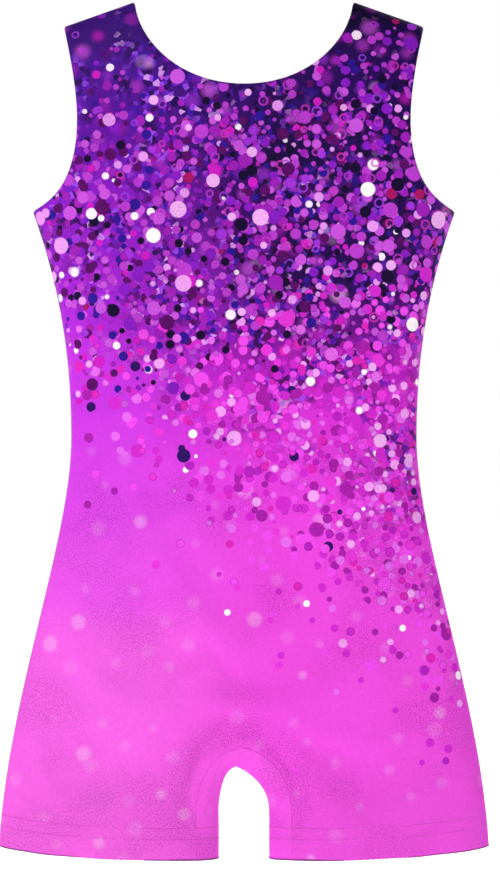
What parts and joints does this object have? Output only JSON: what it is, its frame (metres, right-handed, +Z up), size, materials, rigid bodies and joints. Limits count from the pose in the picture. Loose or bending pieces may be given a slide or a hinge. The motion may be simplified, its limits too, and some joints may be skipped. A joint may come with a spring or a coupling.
{
  "type": "gymnastics leotard",
  "caption": "Sleeveless short-legged gymnastics leotard in stretch knit, with scooped neck and armholes, elastic edges, arched crotch gusset and hemmed legs, softly filled as it hangs.",
  "frame": {"origin": "under the middle of the body, level with the lowest point of the leg hems", "axes": "+Z up from the legs to the shoulders, -Y out of the front of the garment, +X towards the wearer's left"},
  "size_m": [0.3318, 0.0444, 0.58],
  "materials": {
    "printed_knit": "slightly satin warp knit with a purple to pink confetti print",
    "lining_knit": "matte cotton knit",
    "elastic": "matte ribbed elastic",
    "seam_thread": "soft overlock thread",
    "hem_thread": "soft two-needle stitching",
    "label_satin": "white satin label tape"
  },
  "bodies": {
    "garment": {"front_panel": "printed_knit", "back_panel": "printed_knit", "crotch_gusset": "printed_knit", "gusset_lining": "lining_knit", "gusset_front_seam": "seam_thread", "gusset_back_seam": "seam_thread", "neck_elastic": "elastic", "neck_turning": "printed_knit", "neck_stitching": "seam_thread", "left_shoulder_seam": "seam_thread", "right_shoulder_seam": "seam_thread", "left_side_seam": "seam_thread", "right_side_seam": "seam_thread", "left_armhole_elastic": "elastic", "right_armhole_elastic": "elastic", "left_armhole_turning": "printed_knit", "right_armhole_turning": "printed_knit", "left_armhole_stitching": "seam_thread", "right_armhole_stitching": "seam_thread", "left_leg_hem": "printed_knit", "right_leg_hem": "printed_knit", "left_hem_stitching": "hem_thread", "right_hem_stitching": "hem_thread"},
    "size_label": {"size_label": "label_satin"},
    "care_label": {"care_label": "label_satin"}
  },
  "joints": [
    {"name": "size_label_flip", "type": "hinge", "parent": "garment", "child": "size_label", "pos_m": [0, 0.01745, 0.487], "axis": [1, 0, 0], "range_deg": [-150, 0]},
    {"name": "care_label_turn", "type": "hinge", "parent": "garment", "child": "care_label", "pos_m": [0.10935, 0, 0.265], "axis": [0, 0, 1], "range_deg": [-25, 25]}
  ]
}
